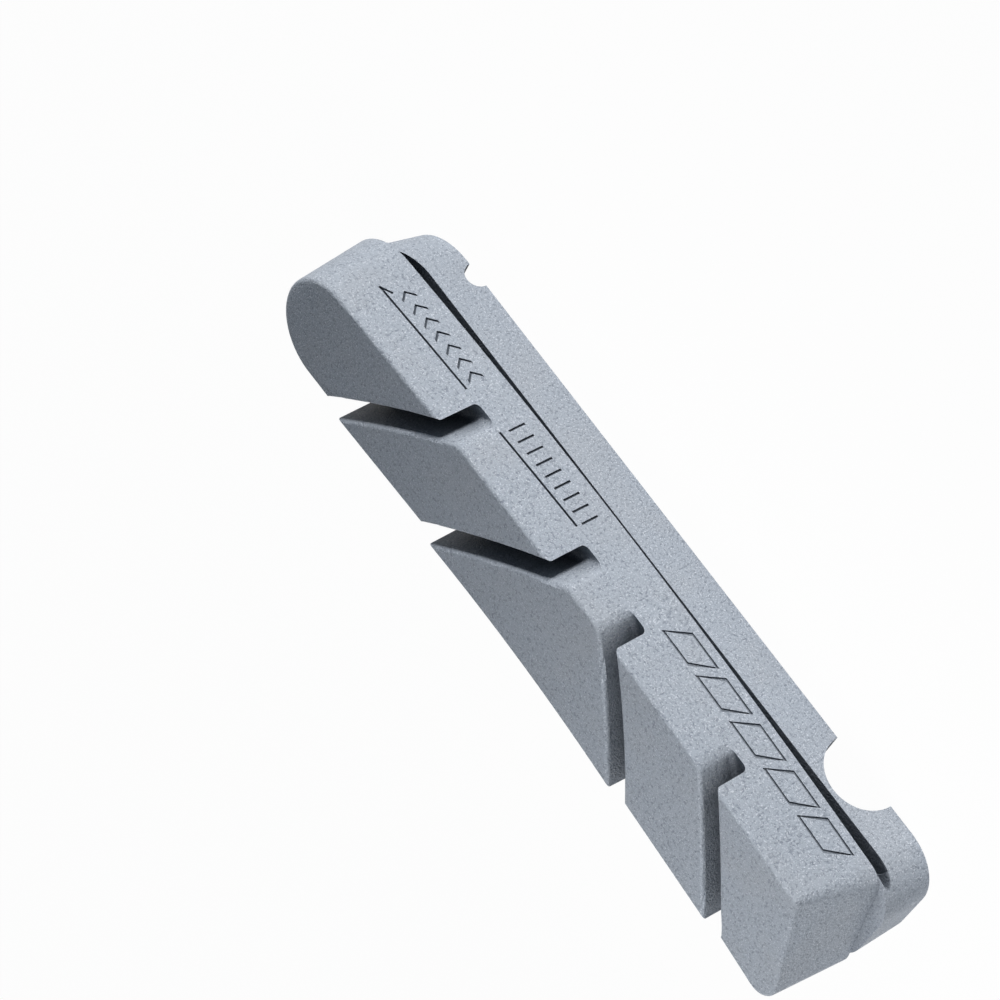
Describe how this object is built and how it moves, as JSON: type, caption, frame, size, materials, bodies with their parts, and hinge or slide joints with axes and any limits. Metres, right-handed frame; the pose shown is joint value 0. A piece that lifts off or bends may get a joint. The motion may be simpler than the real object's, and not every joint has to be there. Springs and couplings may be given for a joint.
{
  "type": "rim brake pad",
  "caption": "Slide-in rim brake pad insert: a rounded friction block with slanted grooves on a flange with side slots and notches across its back.",
  "frame": {"origin": "centre of the bounding box in X and Y, on the back face", "axes": "+X towards the rounded nose, the direction of travel; +Y towards the straight, concave flank; +Z out of the friction face"},
  "size_m": [0.0548, 0.0104, 0.0098],
  "materials": {
    "compound": "satin"
  },
  "bodies": {
    "root": {"brake_pad": "compound"}
  },
  "joints": []
}
